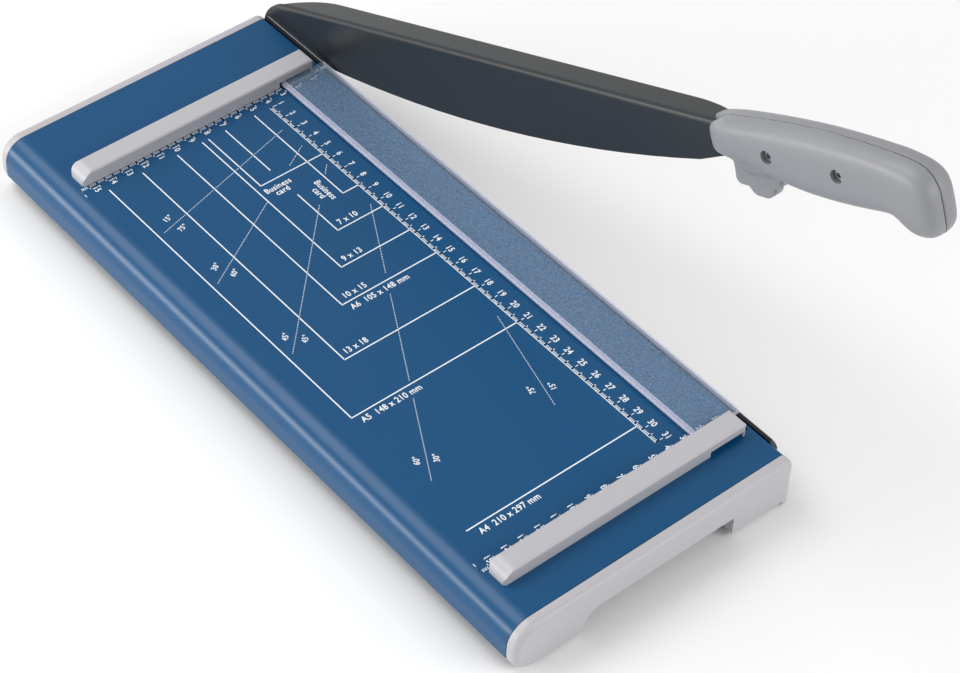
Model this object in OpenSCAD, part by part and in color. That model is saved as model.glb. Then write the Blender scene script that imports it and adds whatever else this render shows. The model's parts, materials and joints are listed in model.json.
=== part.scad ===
// Lever (guillotine) paper trimmer for sheets up to A4: a bent steel table between two
// plastic end caps, a fixed lower blade on its right edge, a sprung clear finger guard
// and a folded blade arm that swings up about a bolt at the rear right corner.

/* [Table] */
// Width from the rolled left edge to the cutting plane
table_w = 172; // [165:1:190]
// Length of the steel table plate between the end caps
plate_l = 403; // [400:1:430]
// Height of the working surface above the ground
table_h = 30; // [29:0.5:34]
// Sheet thickness of the table plate
plate_t = 1.2; // [1:0.1:1.5]
// Outer radius of the rolled left edge
roll_r = 12; // [10:0.5:13]
// Depth of the plate's left and right walls
wall_drop = 20.5; // [20:0.5:21]

/* [End caps and feet] */
// Length that each end cap adds beyond the plate
cap_l = 6.5; // [5.5:0.5:8]
// Clear height of the carrying arch under each cap
arch_h = 15; // [13:0.5:15.5]
// Width of each left foot
left_foot_w = 41; // [38:1:45]
// Width of each right foot
right_foot_w = 38; // [34:1:40]
// Height by which the rubber feet stand proud of the caps
rubber_proud = 0.8; // [0.6:0.1:1.2]

/* [Fences] */
// Clear cutting width between the two fences
fence_gap = 320.6; // [318:0.2:324]
// Distance of the rear fence's face from the table's centre
rear_fence_y = 150.3; // [149:0.1:152]
// Length of each fence
fence_l = 149; // [145:1:151]
// Width of each fence
fence_w = 12; // [11.5:0.5:13]
// Height of each fence
fence_h = 7.8; // [7.5:0.1:9]

/* [Finger guard] */
// Width of the clear guard
guard_w = 28.2; // [27:0.2:29]
// Thickness of the clear guard
guard_t = 2.2; // [2:0.1:2.4]
// Paper gap under the guard at rest
guard_gap = 1.4; // [1.3:0.1:1.5]

/* [Blades and arm] */
// Thickness of the lower blade
lower_blade_t = 2.3; // [2:0.1:3]
// Sheet thickness of the folded upper blade
arm_t = 2.3; // [2:0.1:2.4]
// Width of the flange along the top of the arm
flange_w = 14.4; // [12:0.2:16]
// Height of the arm's straight top edge above the pivot, measured across the arm
spine_h = 28; // [27:0.5:30]
// Radius of the convex cutting edge
edge_r = 1020; // [980:10:1100]
// Greatest depth of the arm below its top edge
arm_depth = 38.5; // [37:0.5:40]
// Angle of the raised arm above the table
rest_deg = 23.85; // [10:0.05:35]

/* [Handle] */
// Distance from the pivot to the front end of the handle
handle_end = 484; // [480:1:490]
// Width of the handle over both shells
handle_w = 21.2; // [20:0.2:22]
// Height of the handle's bar
handle_h = 29; // [28:0.5:30]
// Outer radius of the handle's long edges
handle_r = 9; // [8:0.5:9.5]

/* [Hidden] */
$fn = 64;

// Small overlap that lets cutters pass through a face
eps = 0.5;
// Running clearance between the two blades
blade_clear = 0.1;

// Table planes
cut_x = table_w / 2;
left_x = -table_w / 2;
plate_y = plate_l / 2;
cap_y = plate_y + cap_l;
plate_right_x = cut_x - lower_blade_t;
under_z = table_h - plate_t;
wall_z = table_h - wall_drop;
right_bend_r = 2;

// End caps
cap_right_x = cut_x - 0.4;
cap_wall = 2.5;
shelf_depth = 18;
shelf_t = 3;
clinch_h = 4;
shelf_top = under_z - clinch_h;
cap_screw_x = [-25, 25];
cap_screw_y = plate_y - 9;
foot_inset = 12;
foot_corner_r = 4;
cap_edge_r = 3.5;
cap_low_r = 3;
cap_right_r = 5;
seam_gap = 0.4;
foot_pad_r = 7;
foot_pad_h = 4;
left_pad_x = left_x + left_foot_w - 17;
right_pad_x = cut_x - right_foot_w + 15;

// Fences: both end 8.4 short of the cutting plane
fence_right_x = cut_x - 8.4;
fence_left_x = fence_right_x - fence_l;
front_fence_y = rear_fence_y - fence_gap;
fence_screw_x = [fence_left_x + 12, fence_left_x + 72, fence_left_x + 116];
fence_end_wall = 1.6;
tongue_slot_h = 3.3;
end_slot_l = 8;
end_slot_w = 3.6;

// Finger guard and its two spring guides
guard_right_x = cut_x - 1.8;
guard_left_x = guard_right_x - guard_w;
guard_z = table_h + guard_gap;
guard_rear_y = rear_fence_y - 0.4;
guard_front_y = front_fence_y + 0.4;
tongue_x = [guard_left_x + 1, guard_left_x + 19];
tongue_t = 1.6;
tongue_l = 10.2;
pin_x = (tongue_x[0] + tongue_x[1]) / 2;
pin_y = [front_fence_y - fence_w / 2, rear_fence_y + fence_w / 2];
pin_r = 2;
pin_end_z = table_h - 9.6;
bush_r = 4.5;
bush_flange_r = 6.5;
cup_r = 3.3;
cup_floor_z = table_h - 6;
cup_floor_t = 1.5;
guide_clear = 0.05;
clip_t = 0.8;
wire_r = 0.3;
coil_r = 2.6;
coil_turns = 5;

// Lower blade and its screws
lower_blade_h = wall_drop;
lower_blade_y = [-195.5, 201.5];
nose_run = 3;
blade_screw_y = [-172, -91, -10, 71, 152];
blade_screw_z = table_h - 12;
bracket_y = [142, 196];
bracket_t = 3;
m4_r = 2;
m4_hole_r = 2.1;
m4_af = 7;
m4_nut_h = 3;

// Pivot: a shoulder bolt through arm, lower blade, plate wall and bracket
pivot_y = 178;
pivot_z = table_h - 10.5;
pivot_r = 4;
pivot_hole_r = 4.1;
pivot_bush_r = 5.5;
bracket_x = plate_right_x - plate_t - bracket_t;
washer_t = 1.6;
m8_af = 13;
m8_nut_h = 6.5;
disc_t = 0.8;
head_r = 7.5;
head_h = 3.5;

// Arm, measured from the pivot: forwards along the arm, and up across it
arm_x = cut_x + blade_clear;
arm_face_x = arm_x + arm_t;
deepest = 153;
blade_end = 352;
upturn = 332.6;
tang_end = 446;
rear_r = 28;
ear_r = 13;
flange_start = -4;
flange_full = 36.5;
flange_end = 348;
flange_taper_r = 64;
flange_tip = 322;
flange_tip_r = 100;
fold_r = 2.6;

// Handle, in the same two directions; its bar follows a long shallow arc
nose = 343.5;
nose_low = spine_h - 16.6;
nose_l = 19;
grip_mid = 415;
grip_arc_r = 425;
handle_top = spine_h + 8;
handle_low = handle_top - handle_h;
butt_low = handle_low - 10;
butt_back = 452;
lug_front = 353;
lug_step = 362;
lug_back = 381;
slope_end = 392;
screw_at = [389, 432];
screw_up = spine_h - 6.4;
parting_x = arm_face_x;
handle_x0 = cut_x - 7.7;
handle_x1 = handle_x0 + handle_w;
shell_wall = 2.4;
recess_r = 3.4;
head_cap_r = 2.7;
recess_floor_x = parting_x - 5.6;
boss_r = 6;
screw_r = 1.6;
screw_tip_x = parting_x + 8;
lug_x0 = cut_x + 0.6;
lug_x1 = parting_x + 5.2;

// Frame origin: ground level, in the middle of the whole object with its arm at rest
handle_reach = handle_end * cos(rest_deg);
origin_x = (arm_x + flange_w + left_x) / 2;
origin_y = (cap_y + pivot_y - handle_reach) / 2;

module framed() {
    translate([-origin_x, -origin_y, 0]) children();
}

// Extrudes an X-Z outline along Y
module along_y(y0, y1) {
    translate([0, y1, 0]) rotate([90, 0, 0]) linear_extrude(y1 - y0) children();
}

// Extrudes a Y-Z outline along X
module along_x(x0, x1) {
    translate([x0, 0, 0]) rotate([90, 0, 90]) linear_extrude(x1 - x0) children();
}

// Box between two corners
module span(a, b) {
    translate(a) cube(b - a);
}

// Cylinder along +X
module x_rod(x0, x1, r) {
    translate([x0, 0, 0]) rotate([0, 90, 0]) cylinder(h = x1 - x0, r = r);
}

// Hexagon prism along +X, across flats af
module x_hex(x0, x1, af) {
    translate([x0, 0, 0]) rotate([0, 90, 0]) cylinder(h = x1 - x0, d = af / cos(30), $fn = 6);
}

// What a corner of radius r loses: sx and sy point outwards from the rectangle's middle
module corner_waste(at, r, sx, sy) {
    translate(at) difference() {
        translate([sx < 0 ? -eps : -r, sy < 0 ? -eps : -r]) square(r + eps);
        translate([-sx * r, -sy * r]) circle(r);
    }
}

// Rectangle with its own radius at each corner: bottom left, bottom right, top right, top left
module rounded(a, b, r) {
    difference() {
        translate(a) square(b - a);
        if (r[0] > 0) corner_waste(a, r[0], -1, -1);
        if (r[1] > 0) corner_waste([b[0], a[1]], r[1], 1, -1);
        if (r[2] > 0) corner_waste(b, r[2], 1, 1);
        if (r[3] > 0) corner_waste([a[0], b[1]], r[3], -1, 1);
    }
}

// Places a child at both pin positions of the guard
module at_pins() {
    for (y = pin_y) translate([pin_x, y, 0]) children();
}

// Places a child, drawn along +X, at each lower-blade screw
module at_blade_screws() {
    for (y = blade_screw_y) translate([0, y, blade_screw_z]) children();
}

module at_pivot() {
    translate([0, pivot_y, pivot_z]) children();
}

// ---------------------------------------------------------------- table

module plate_section() {
    difference() {
        rounded([left_x, wall_z], [plate_right_x, table_h], [0, 0, right_bend_r, roll_r]);
        rounded([left_x + plate_t, wall_z - eps], [plate_right_x - plate_t, under_z],
                [0, 0, right_bend_r - plate_t, roll_r - plate_t]);
    }
}

module table_plate() {
    color("#2a6599") framed() difference() {
        along_y(-plate_y, plate_y) plate_section();
        for (x = fence_screw_x, y = pin_y)
            translate([x, y, under_z - eps]) cylinder(h = plate_t + 2 * eps, r = 1.7);
        at_pins() translate([0, 0, under_z - eps])
            cylinder(h = plate_t + 2 * eps, r = bush_r + guide_clear);
        at_blade_screws() x_rod(plate_right_x - plate_t - eps, plate_right_x + eps, m4_hole_r);
        at_pivot() x_rod(plate_right_x - plate_t - eps, plate_right_x + eps, pivot_hole_r);
        // Slots beside the right ends of the fences
        for (y = pin_y)
            span([fence_right_x + 0.2, y - end_slot_l / 2, under_z - eps],
                 [fence_right_x + end_slot_w, y + end_slot_l / 2, table_h + eps]);
    }
}

// Round corner of a cap: a disc along Y whose front edge is rounded over
module cap_disc(x, z, r) {
    translate([x, 0, z]) rotate([90, 0, 0]) rotate_extrude()
        rounded([0, plate_y], [r, cap_y], [0, 0, cap_edge_r, 0]);
}

// Face of a cap with its front edge rounded over: round on the left, tighter on the right
module cap_face() {
    inner_left = left_x + roll_r;
    inner_right = cap_right_x - cap_right_r;
    along_x(inner_left, inner_right)
        rounded([-cap_y, rubber_proud], [-plate_y, table_h], [cap_low_r, 0, 0, cap_edge_r]);
    cap_disc(inner_left, table_h - roll_r, roll_r);
    cap_disc(inner_left, rubber_proud + roll_r, roll_r);
    translate([0, 0, rubber_proud + roll_r])
        linear_extrude(table_h - rubber_proud - 2 * roll_r)
        rounded([left_x, -cap_y], [inner_left, -plate_y], [cap_edge_r, 0, 0, 0]);
    cap_disc(inner_right, table_h - cap_right_r, cap_right_r);
    translate([0, 0, rubber_proud]) linear_extrude(table_h - rubber_proud - cap_right_r)
        rounded([inner_right, -cap_y], [cap_right_x, -plate_y], [0, cap_edge_r, 0, 0]);
}

// Arch between the feet, with the feet's corners
module cap_arch() {
    left_leg = left_x + left_foot_w;
    right_leg = cut_x - right_foot_w;
    rounded([left_leg, -eps], [right_leg, arch_h], [0, 0, 1.5, 11]);
    corner_waste([right_leg, rubber_proud], foot_corner_r, -1, -1);
    corner_waste([cap_right_x, rubber_proud], cap_low_r, 1, -1);
}

// Front end cap; the rear one is its mirror image
module end_cap() {
    difference() {
        union() {
            difference() {
                cap_face();
                along_y(-cap_y - eps, -plate_y + eps) cap_arch();
            }
            // Shelf that the table plate rests on, and the two feet under it
            span([left_x + foot_inset, -plate_y - eps, shelf_top - shelf_t],
                 [plate_right_x - plate_t - 4, -plate_y + shelf_depth, shelf_top]);
            span([left_x + foot_inset, -plate_y - eps, rubber_proud],
                 [left_x + left_foot_w, -plate_y + shelf_depth, shelf_top - 0.2]);
            span([cut_x - right_foot_w + foot_corner_r, -plate_y - eps, rubber_proud],
                 [plate_right_x - plate_t - 4, -plate_y + shelf_depth, shelf_top - 0.2]);
        }
        // Hollow behind the face above the shelf
        span([left_x + roll_r, -cap_y + cap_wall, shelf_top],
             [cut_x - 8, -plate_y + eps, table_h - cap_wall]);
        for (x = cap_screw_x)
            translate([x, -cap_screw_y, shelf_top - shelf_t - eps])
                cylinder(h = shelf_t + 2 * eps, r = m4_hole_r);
        for (x = [left_pad_x, right_pad_x])
            translate([x, -cap_screw_y, 0]) cylinder(h = foot_pad_h, r = foot_pad_r + 0.1);
        // Thin seam between the face and the plate's end
        along_y(-plate_y - seam_gap, -plate_y + 0.01) difference() {
            translate([left_x - 1, 0]) square([table_w + 2, table_h + 1]);
            rounded([left_x + plate_t, -1], [cut_x - 4, under_z],
                    [0, 0, 0, roll_r - plate_t]);
        }
        // Relief round the pivot's washer and nut
        translate([0, -pivot_y, pivot_z]) x_rod(right_pad_x + 3, cut_x, 9.5);
    }
}

module front_cap() {
    color("#c9c8cc") framed() end_cap();
}

module rear_cap() {
    color("#c9c8cc") framed() mirror([0, 1, 0]) end_cap();
}

module at_cap_screws() {
    for (x = cap_screw_x, y = [-cap_screw_y, cap_screw_y]) translate([x, y, 0]) children();
}

module cap_clinch_nuts() {
    color("silver") framed() at_cap_screws() translate([0, 0, shelf_top]) difference() {
        cylinder(h = clinch_h, r = 4);
        translate([0, 0, -eps]) cylinder(h = clinch_h + 2 * eps, r = m4_hole_r);
    }
}

module cap_screws() {
    head_h4 = 2.4;
    color("silver") framed() at_cap_screws() difference() {
        union() {
            translate([0, 0, shelf_top - shelf_t - head_h4]) cylinder(h = head_h4, r = 3.9);
            translate([0, 0, shelf_top - shelf_t - 1]) cylinder(h = shelf_t + 4.4, r = m4_r);
        }
        translate([0, 0, shelf_top - shelf_t - head_h4 - eps])
            cylinder(h = 1.4 + eps, d = 3.4, $fn = 6);
    }
}

module rubber_feet() {
    color("#2b2b2c") framed()
        for (x = [left_pad_x, right_pad_x], y = [-cap_screw_y, cap_screw_y])
            translate([x, y, 0]) cylinder(h = foot_pad_h, r = foot_pad_r);
}

// ---------------------------------------------------------------- fences

// Rear fence with its face towards -Y; the front one is its mirror image
module fence() {
    y0 = rear_fence_y;
    y1 = rear_fence_y + fence_w;
    top = table_h + fence_h;
    difference() {
        intersection() {
            along_y(y0, y1)
                rounded([fence_left_x, table_h], [fence_right_x, top], [0, 0, 1.2, 7]);
            along_x(fence_left_x, fence_right_x)
                rounded([y0, table_h - 1], [y1, top], [0, 0, 1.2, 1.2]);
            linear_extrude(top)
                rounded([fence_left_x, y0], [fence_right_x, y1], [2, 1, 1, 2]);
        }
        // Slot for the guard's tongue, open at both faces
        span([guard_left_x - 1, y0 - eps, table_h - eps],
             [fence_right_x - fence_end_wall, y1 + eps, table_h + tongue_slot_h]);
        // Hollows between the screw bosses
        for (i = [0, 1])
            span([fence_screw_x[i] + 4, y0 + 2, table_h - eps],
                 [fence_screw_x[i + 1] - 4, y1 - 2, top - 2]);
        for (x = fence_screw_x)
            translate([x, y0 + fence_w / 2, table_h - eps]) cylinder(h = 6 + eps, r = 1.3);
    }
}

module rear_fence() {
    color("#cdccd0") framed() fence();
}

module front_fence() {
    color("#cdccd0") framed()
        translate([0, rear_fence_y + front_fence_y, 0]) mirror([0, 1, 0]) fence();
}

module fence_screws() {
    head_h3 = 1.9;
    color("silver") framed() for (x = fence_screw_x, y = pin_y) translate([x, y, 0]) difference() {
        union() {
            translate([0, 0, under_z - head_h3]) cylinder(h = head_h3, r = 2.8);
            translate([0, 0, under_z - 0.5]) cylinder(h = 6.2, r = 1.25);
        }
        translate([0, 0, under_z - head_h3 - eps]) cylinder(h = 1 + eps, d = 2.6, $fn = 6);
    }
}

// ---------------------------------------------------------------- lower blade and pivot

module lower_blade() {
    color("#4a4d52") framed() difference() {
        span([plate_right_x, lower_blade_y[0], table_h - lower_blade_h],
             [cut_x, lower_blade_y[1], table_h]);
        at_blade_screws() x_rod(plate_right_x - eps, cut_x + eps, m4_hole_r);
        at_blade_screws() translate([cut_x - 2.1, 0, 0])
            rotate([0, 90, 0]) cylinder(h = 2.1 + 0.01, r1 = m4_hole_r, r2 = 4.2);
        at_pivot() x_rod(plate_right_x - eps, cut_x + eps, pivot_hole_r);
        // Sloping front end
        along_x(plate_right_x - eps, cut_x + eps)
            polygon([[lower_blade_y[0] - eps, table_h + eps], [lower_blade_y[0] + nose_run, table_h + eps],
                     [lower_blade_y[0] + nose_run, table_h], [lower_blade_y[0] - eps, table_h - nose_run]]);
    }
}

module blade_screws() {
    color("silver") framed() at_blade_screws() difference() {
        union() {
            translate([cut_x - 2.1, 0, 0])
                rotate([0, 90, 0]) cylinder(h = 1.9, r1 = m4_r - 0.05, r2 = 3.8);
            x_rod(plate_right_x - 8.4, cut_x - 1, m4_r - 0.05);
        }
        x_hex(cut_x - 1.6, cut_x + eps, 2.5);
    }
}

// Nuts on the inside; the rearmost one sits on the pivot bracket
module blade_nuts() {
    color("silver") framed() for (y = blade_screw_y) {
        inner = plate_right_x - plate_t - (y > bracket_y[0] ? bracket_t : 0);
        translate([0, y, blade_screw_z]) difference() {
            x_hex(inner - m4_nut_h, inner, m4_af);
            x_rod(inner - m4_nut_h - eps, inner + eps, m4_r);
        }
    }
}

module pivot_bracket() {
    color("silver") framed() difference() {
        along_x(bracket_x, bracket_x + bracket_t)
            rounded([bracket_y[0], wall_z + 1], [bracket_y[1], under_z - 1], [3, 3, 3, 3]);
        at_pivot() x_rod(bracket_x - eps, bracket_x + bracket_t + eps, pivot_hole_r);
        translate([0, blade_screw_y[4], blade_screw_z])
            x_rod(bracket_x - eps, bracket_x + bracket_t + eps, m4_hole_r);
    }
}

module pivot_bolt() {
    head_x = arm_face_x + disc_t + 0.2;
    color("#b9bcc0") framed() at_pivot() difference() {
        union() {
            x_rod(bracket_x - washer_t - m8_nut_h - 1, head_x + 1, pivot_r);
            x_rod(head_x, head_x + head_h, head_r);
        }
        x_hex(head_x + head_h - 2.2, head_x + head_h + eps, 5);
    }
}

module pivot_washer() {
    color("silver") framed() at_pivot() difference() {
        x_rod(bracket_x - washer_t, bracket_x, 8);
        x_rod(bracket_x - washer_t - eps, bracket_x + eps, pivot_hole_r);
    }
}

module pivot_nut() {
    color("silver") framed() at_pivot() difference() {
        x_hex(bracket_x - washer_t - m8_nut_h, bracket_x - washer_t, m8_af);
        x_rod(bracket_x - washer_t - m8_nut_h - eps, bracket_x - washer_t + eps, pivot_r);
    }
}

// Shallow cone that presses the arm against the lower blade
module disc_spring() {
    color("#5a5d62") framed() at_pivot() translate([arm_face_x + 0.1, 0, 0])
        rotate([0, 90, 0]) rotate_extrude() difference() {
            translate([pivot_hole_r, 0]) square([head_r - pivot_hole_r, disc_t]);
            translate([head_r, 0]) rotate(45) square(0.4, center = true);
        }
}

// ---------------------------------------------------------------- finger guard

module guard_bushes() {
    color("#3a3b3e") framed() at_pins() difference() {
        union() {
            translate([0, 0, cup_floor_z - cup_floor_t])
                cylinder(h = table_h - cup_floor_z + cup_floor_t, r = bush_r);
            translate([0, 0, under_z - 1.2]) cylinder(h = 1.2, r = bush_flange_r);
        }
        translate([0, 0, cup_floor_z]) cylinder(h = table_h, r = cup_r);
        translate([0, 0, cup_floor_z - cup_floor_t - eps])
            cylinder(h = table_h, r = pin_r + guide_clear);
    }
}

module press_guard() {
    chamfer = 2.6;
    color("#8fa3bd", 0.6) framed() difference() {
        union() {
            along_y(guard_front_y, guard_rear_y) polygon([
                [guard_left_x, guard_z], [guard_right_x, guard_z],
                [guard_right_x, guard_z + guard_t], [guard_left_x + chamfer, guard_z + guard_t],
                [guard_left_x, guard_z + 0.8]
            ]);
            span([tongue_x[0], guard_front_y - tongue_l, guard_z],
                 [tongue_x[1], guard_rear_y + tongue_l, guard_z + tongue_t]);
        }
        at_pins() translate([0, 0, guard_z - eps])
            cylinder(h = guard_t + 2 * eps, r = pin_r + 0.02);
    }
}

module guard_pins() {
    color("silver") framed() at_pins() translate([0, 0, pin_end_z])
        cylinder(h = guard_z + tongue_t - pin_end_z, r = pin_r);
}

// Push-on clips that hold the raised guard against its springs
module guard_clips() {
    color("#5a5d62") framed() at_pins() translate([0, 0, cup_floor_z - cup_floor_t - clip_t - 0.1])
        difference() {
            cylinder(h = clip_t, r = bush_r - 0.5);
            translate([0, 0, -eps]) cylinder(h = clip_t + 2 * eps, r = pin_r);
        }
}

// Round wire swept along a helix; the ends lie within the coil's height
module coil(height) {
    sides = 8;
    rings = coil_turns * 14;
    rise = height - 2 * wire_r;
    ring = function(i) let (a = 360 * coil_turns * i / rings)
        [for (j = [0:sides - 1]) let (b = 360 * j / sides)
            [(coil_r + wire_r * cos(b)) * cos(a), (coil_r + wire_r * cos(b)) * sin(a),
             wire_r + rise * i / rings + wire_r * sin(b)]];
    points = [for (i = [0:rings]) each ring(i)];
    skin = [for (i = [0:rings - 1], j = [0:sides - 1]) let (k = (j + 1) % sides)
        [i * sides + j, i * sides + k, (i + 1) * sides + k, (i + 1) * sides + j]];
    first = [for (j = [0:sides - 1]) sides - 1 - j];
    last = [for (j = [0:sides - 1]) rings * sides + j];
    polyhedron(points, concat(skin, [first, last]), convexity = 10);
}

module guard_springs() {
    color("silver") framed() at_pins() translate([0, 0, cup_floor_z])
        coil(guard_z - cup_floor_z);
}

// ---------------------------------------------------------------- blade arm

// Arm frame: origin at the pivot, forwards is -Y and the arm's top edge is level
module on_arm() {
    framed() translate([0, pivot_y, pivot_z]) rotate([-rest_deg, 0, 0]) children();
}

// Extrudes an outline drawn as [forwards, up] from x0 to x1
module arm_outline(x0, x1) {
    along_x(x0, x1) mirror([1, 0]) children();
}

// Side view of the folded sheet: straight top, convex cutting edge, round rear end
module blade_outline() {
    difference() {
        intersection() {
            translate([-rear_r, -ear_r]) square([blade_end + rear_r, spine_h + ear_r]);
            translate([deepest, spine_h - arm_depth + edge_r]) circle(edge_r, $fn = 256);
            union() {
                circle(rear_r);
                translate([0, -ear_r]) square([blade_end, spine_h + ear_r]);
            }
        }
        polygon([[-rear_r - eps, -ear_r - eps], [0, -ear_r - eps], [0, 0],
                 [-26.3, 9.6], [-rear_r - eps, 9.6]]);
        // Upturned front end
        polygon([[upturn, spine_h - 22.7], [blade_end + eps, nose_low + 0.1],
                 [blade_end + eps, -ear_r], [upturn, -ear_r]]);
    }
    circle(ear_r);
    polygon([[-26.3, 9.6], [-4.6, -12.1], [0, 0], [0, 9.6]]);
    // Tang that the handle shells clamp
    translate([blade_end - eps, spine_h - 15]) square([tang_end - blade_end + eps, 14]);
}

module upper_blade() {
    color("#3d4045") on_arm() difference() {
        union() {
            arm_outline(arm_x, arm_face_x) blade_outline();
            // Flange, tapered at both ends along wide arcs
            translate([arm_x, 0, spine_h - arm_t]) mirror([0, 1, 0])
                linear_extrude(arm_t) flange_plan();
        }
        // Rounded outside of the fold
        along_y(-tang_end - eps, rear_r + eps)
            translate([arm_x, spine_h]) corner_waste([0, 0], fold_r, -1, 1);
        x_rod(arm_x - eps, arm_face_x + eps, pivot_bush_r);
        for (l = screw_at)
            translate([0, -l, screw_up]) x_rod(arm_x - eps, arm_face_x + eps, 2.5);
    }
}

// Top view of the flange: x across the arm, y forwards
module flange_plan() {
    intersection() {
        translate([0, flange_start]) square([flange_w, flange_end - flange_start]);
        union() {
            translate([flange_w - flange_taper_r, flange_full])
                circle(flange_taper_r, $fn = 128);
            translate([0, flange_full]) square([flange_w, flange_end - flange_full]);
        }
        union() {
            translate([flange_w - flange_tip_r, flange_tip]) circle(flange_tip_r, $fn = 128);
            translate([0, flange_start]) square([flange_w, flange_tip - flange_start]);
        }
    }
}

module pivot_bush() {
    color("#b5934a") on_arm() difference() {
        x_rod(arm_x, arm_face_x, pivot_bush_r);
        x_rod(arm_x - eps, arm_face_x + eps, pivot_r + guide_clear);
    }
}

// ---------------------------------------------------------------- handle

// Bar with rounded long edges, bent along the handle's arc; low is its underside
module swept_bar(low) {
    translate([0, -grip_mid, handle_top - grip_arc_r]) rotate([0, 90, 0])
        rotate_extrude($fn = 256)
        rounded([grip_arc_r - handle_top + low, handle_x0], [grip_arc_r, handle_x1],
                [handle_r - 1, handle_r, handle_r, handle_r - 1]);
}

// Keeps what lies between two distances along the arm
module between(l0, l1) {
    intersection() {
        children();
        span([handle_x0 - 1, -l1, butt_low - 5], [handle_x1 + 1, -l0, handle_top + 5]);
    }
}

// Closed handle without its lug: nose, bar and down-turned butt
module grip_solid() {
    intersection() {
        union() {
            difference() {
                between(nose + nose_l, handle_end) swept_bar(handle_low);
                // Underside falls from the nose to the full depth of the bar
                arm_outline(handle_x0 - 1, handle_x1 + 1)
                    polygon([[nose + nose_l - eps, nose_low], [nose + nose_l, nose_low],
                             [slope_end, handle_low - 1.4], [slope_end, butt_low],
                             [nose + nose_l - eps, butt_low]]);
            }
            intersection() {
                between(nose, nose + nose_l + eps) swept_bar(handle_low - 20);
                along_y(-handle_end, -nose)
                    rounded([handle_x0, nose_low], [handle_x1, handle_top + 1], [6, 6, 0, 0]);
            }
            intersection() {
                arm_outline(handle_x0, handle_x1) difference() {
                    translate([butt_back, butt_low]) square([handle_end - butt_back, 20]);
                    translate([butt_back, butt_low - 8]) circle(18);
                    corner_waste([handle_end, butt_low], 6, 1, -1);
                }
                along_y(-handle_end, -butt_back)
                    rounded([handle_x0, butt_low], [handle_x1, handle_top], [8, 8, 0, 0]);
            }
        }
        mirror([0, 1, 0]) translate([0, 0, butt_low - 1]) linear_extrude(handle_h + 15)
            rounded([handle_x0, nose], [handle_x1, handle_end], [3, 3, 8, 8]);
        arm_outline(handle_x0 - 1, handle_x1 + 1) difference() {
            translate([nose, butt_low - 1]) square([handle_end - nose, handle_h + 15]);
            polygon([[nose - eps, handle_top + 5], [nose - eps, spine_h - 5.5],
                     [nose + 1.5, spine_h - 3], [nose + 5, spine_h], [nose + 13.2, spine_h + 4],
                     [nose + 30, handle_top + 5]]);
            corner_waste([handle_end, handle_top - 4.4], 9, 1, 1);
            translate([handle_end - 9 - eps, handle_top - 4.4]) square(10);
        }
    }
}

// Finger lug under the front of the handle
module lug_outline() {
    low = nose_low - 17;
    difference() {
        polygon([[lug_front, nose_low + 2], [lug_front, low + 4], [lug_step, low + 4],
                 [lug_step, low], [lug_back, low], [lug_back + 2, handle_low + 2]]);
        corner_waste([lug_front, low + 4], 6, -1, -1);
        corner_waste([lug_step, low], 3, -1, -1);
        corner_waste([lug_back, low], 6, 1, -1);
    }
}

// Hollow inside both shells, clear of the bosses
module grip_hollow() {
    along_y(-handle_end + 13, -nose - nose_l)
        rounded([handle_x0 + shell_wall, handle_low + shell_wall + 1.6],
                [handle_x1 - shell_wall, handle_top - shell_wall - 4], [6, 6, 6, 6]);
}

module at_handle_screws() {
    for (l = screw_at) translate([0, -l, screw_up]) children();
}

module handle_left_shell() {
    color("#bdbec2") on_arm() difference() {
        union() {
            difference() {
                intersection() {
                    grip_solid();
                    span([handle_x0 - 1, -handle_end - 1, butt_low - 5],
                         [parting_x, -nose + 1, handle_top + 1]);
                }
                grip_hollow();
            }
            arm_outline(lug_x0, parting_x) lug_outline();
            at_handle_screws() x_rod(handle_x0 + 1, arm_x, boss_r);
        }
        // Room for the web's front end, the fold and the tang
        arm_outline(arm_x, parting_x + eps) {
            translate([nose - 2, nose_low - 5]) square([blade_end - nose + 2.2, 21.7]);
            translate([blade_end, spine_h - 15.1]) square([tang_end - blade_end + 0.2, 14.2]);
        }
        at_handle_screws() x_rod(handle_x0 - 1, recess_floor_x, recess_r);
        at_handle_screws() x_rod(handle_x0 - 1, parting_x + 1, screw_r + 0.3);
    }
}

module handle_right_shell() {
    color("#bdbec2") on_arm() difference() {
        union() {
            difference() {
                intersection() {
                    grip_solid();
                    span([parting_x, -handle_end - 1, butt_low - 5],
                         [handle_x1 + 1, -nose + 1, handle_top + 1]);
                }
                grip_hollow();
            }
            arm_outline(parting_x, lug_x1) lug_outline();
            at_handle_screws() x_rod(parting_x, handle_x1 - 1, boss_r);
        }
        // Slot for the flange's front end
        arm_outline(parting_x - eps, arm_x + 12.4)
            translate([nose - 2, spine_h - arm_t - 0.1])
            square([flange_end - nose + 2.2, arm_t + 0.2]);
        at_handle_screws() x_rod(parting_x - 1, screw_tip_x, screw_r);
    }
}

module handle_screws() {
    head_l = 2.6;
    color("#c6c9cc") on_arm() at_handle_screws() difference() {
        union() {
            x_rod(recess_floor_x - head_l, recess_floor_x, head_cap_r);
            x_rod(recess_floor_x - 0.5, screw_tip_x - 0.5, screw_r);
        }
        x_hex(recess_floor_x - head_l - eps, recess_floor_x - head_l + 1.4, 2.5);
    }
}

table_plate();
front_cap();
rear_cap();
cap_clinch_nuts();
cap_screws();
rubber_feet();
rear_fence();
front_fence();
fence_screws();
lower_blade();
blade_screws();
blade_nuts();
pivot_bracket();
pivot_bolt();
pivot_washer();
pivot_nut();
disc_spring();
guard_bushes();
press_guard();
guard_pins();
guard_clips();
guard_springs();
upper_blade();
pivot_bush();
handle_left_shell();
handle_right_shell();
handle_screws();
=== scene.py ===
"""Lever paper trimmer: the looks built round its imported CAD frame.

Each sub-assembly is a class that holds its sizes in millimetres and dresses the CAD pieces it
owns or builds the pieces it adds. Positions come from the frame's own nodes.
"""

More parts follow.
